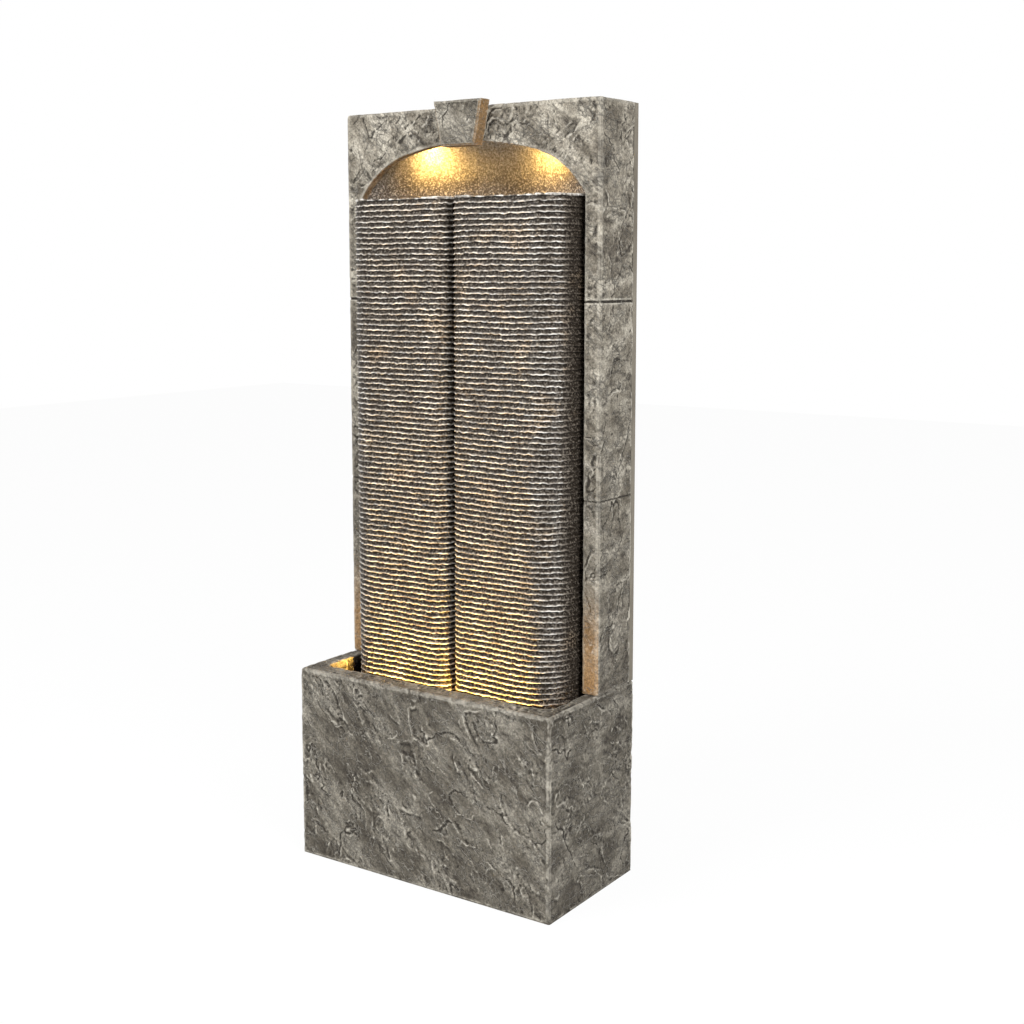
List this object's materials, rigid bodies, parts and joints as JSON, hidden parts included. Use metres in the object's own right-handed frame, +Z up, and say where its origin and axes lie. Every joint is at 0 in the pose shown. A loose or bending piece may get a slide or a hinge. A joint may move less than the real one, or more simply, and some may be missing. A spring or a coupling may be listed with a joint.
{
  "type": "water wall fountain",
  "caption": "Free-standing stone-look water wall fountain: rippled columns in an arched, lit niche above a box basin, with a pump and water line inside and a lift-off rear cover.",
  "frame": {"origin": "middle of the basin's footprint, on the ground", "axes": "+Z up, the front with the pool faces -Y, +X to the viewer's right"},
  "size_m": [0.4, 0.2, 1],
  "materials": {
    "cast_resin": "cast resin painted as weathered slate, matte, rubbed light on its edges",
    "ripple_resin": "cast resin, dark with rubbed light ledge edges, satin from the water film",
    "dome_resin": "cast resin with a coarse sanded face",
    "access_plastic": "moulded cover, fine texture",
    "pump_plastic": "moulded black plastic",
    "nylon": "moulded nylon",
    "clear_tube": "extruded clear vinyl",
    "rubber": "moulded black rubber",
    "ferrite": "sintered ferrite",
    "ceramic_white": "ground ceramic",
    "lamp_body": "potted black plastic",
    "lamp_lens": "opal diffuser, lit warm white",
    "steel": "stainless"
  },
  "bodies": {
    "fountain_body": {"basin": "cast_resin", "tower_frame": "cast_resin", "keystone": "cast_resin", "back_panel": "cast_resin", "left_ripple_column": "ripple_resin", "right_ripple_column": "ripple_resin", "left_spill_tray": "ripple_resin", "right_spill_tray": "ripple_resin", "niche_dome": "dome_resin", "left_outlet_spout": "nylon", "right_outlet_spout": "nylon", "tee_fitting": "nylon", "riser_tube": "clear_tube", "left_branch_tube": "clear_tube", "right_branch_tube": "clear_tube", "pump_motor_housing": "pump_plastic", "pump_chamber": "pump_plastic", "pump_shaft": "ceramic_white", "pump_shaft_bushes": "rubber", "pump_suction_cups": "rubber", "pump_cord_gland": "rubber", "cable_grommet": "rubber", "basin_lamp_left_housing": "lamp_body", "basin_lamp_left_lens": "lamp_lens", "basin_lamp_right_housing": "lamp_body", "basin_lamp_right_lens": "lamp_lens", "arch_lamp_left_housing": "lamp_body", "arch_lamp_left_lens": "lamp_lens", "arch_lamp_right_housing": "lamp_body", "arch_lamp_right_lens": "lamp_lens", "basin_lamp_left_clip": "lamp_body", "basin_lamp_right_clip": "lamp_body"},
    "access_cover": {"access_cover": "access_plastic", "access_cover_screws": "steel"},
    "drain_plug": {"drain_plug": "rubber"},
    "pump_rotor": {"pump_impeller": "pump_plastic", "pump_rotor_magnet": "ferrite"},
    "intake_cover": {"pump_intake_cover": "pump_plastic"},
    "flow_slider": {"pump_flow_slider": "pump_plastic"}
  },
  "joints": [
    {"name": "access_cover_lift", "type": "slide", "parent": "fountain_body", "child": "access_cover", "axis": [0, 1, 0], "range_m": [0, 0.06]},
    {"name": "drain_plug_pull", "type": "slide", "parent": "fountain_body", "child": "drain_plug", "axis": [0, 1, 0], "range_m": [0, 0.03]},
    {"name": "pump_rotor_spin", "type": "hinge", "parent": "fountain_body", "child": "pump_rotor", "pos_m": [0, 0.053, 0.046], "axis": [1, 0, 0], "continuous": true},
    {"name": "intake_cover_pull", "type": "slide", "parent": "fountain_body", "child": "intake_cover", "axis": [1, 0, 0], "range_m": [0, 0.03]},
    {"name": "flow_slider_travel", "type": "slide", "parent": "intake_cover", "child": "flow_slider", "axis": [0, 1, 0], "range_m": [-0.006, 0.006]}
  ]
}
